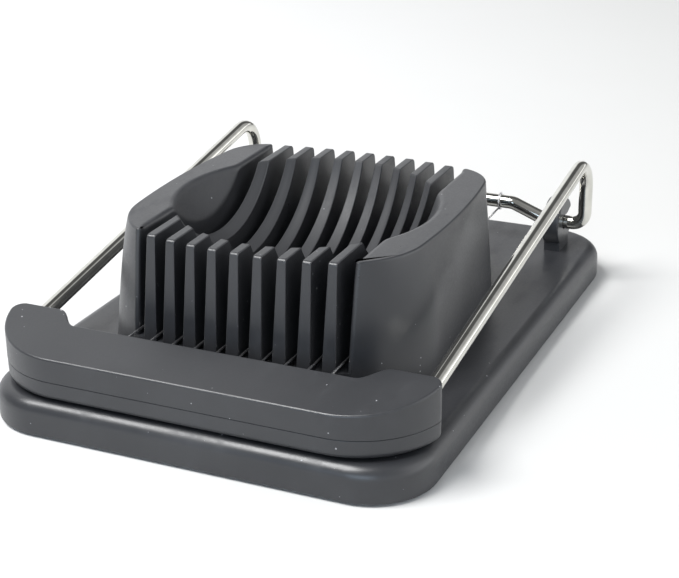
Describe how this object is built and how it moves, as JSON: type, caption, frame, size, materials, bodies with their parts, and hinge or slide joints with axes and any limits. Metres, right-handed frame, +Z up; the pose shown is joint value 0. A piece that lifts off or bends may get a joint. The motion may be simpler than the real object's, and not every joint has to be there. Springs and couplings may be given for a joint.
{
  "type": "egg slicer",
  "caption": "Black plastic egg slicer with a slotted round cradle on a flat base and a hinged steel rod frame holding the cutting wires.",
  "frame": {"origin": "centre of the base's footprint, on the surface it stands on", "axes": "+X right along the front edge, +Y towards the hinge at the rear, +Z up"},
  "size_m": [0.0944, 0.134, 0.0351],
  "materials": {
    "base_plastic": "moulded satin black",
    "grip_plastic": "moulded satin dark grey",
    "polished_rod": "polished",
    "wire_steel": "drawn",
    "fastener_steel": "plated",
    "foot_rubber": "matte"
  },
  "bodies": {
    "base": {"base_body": "base_plastic", "foot_front_left": "foot_rubber", "foot_front_right": "foot_rubber", "foot_rear_left": "foot_rubber", "foot_rear_right": "foot_rubber"},
    "cutting_frame": {"bail_rod": "polished_rod", "handle_upper_shell": "grip_plastic", "handle_lower_shell": "grip_plastic", "handle_screws": "fastener_steel", "wire_anchor_plate": "fastener_steel", "wire_ferrules": "fastener_steel", "wire_01": "wire_steel", "wire_02": "wire_steel", "wire_03": "wire_steel", "wire_04": "wire_steel", "wire_05": "wire_steel", "wire_06": "wire_steel", "wire_07": "wire_steel", "wire_08": "wire_steel", "wire_09": "wire_steel", "wire_10": "wire_steel"}
  },
  "joints": [
    {"name": "frame_hinge", "type": "hinge", "parent": "base", "child": "cutting_frame", "pos_m": [0, 0.0535, 0.0143], "axis": [-1, 0, 0], "range_deg": [0, 105]}
  ]
}
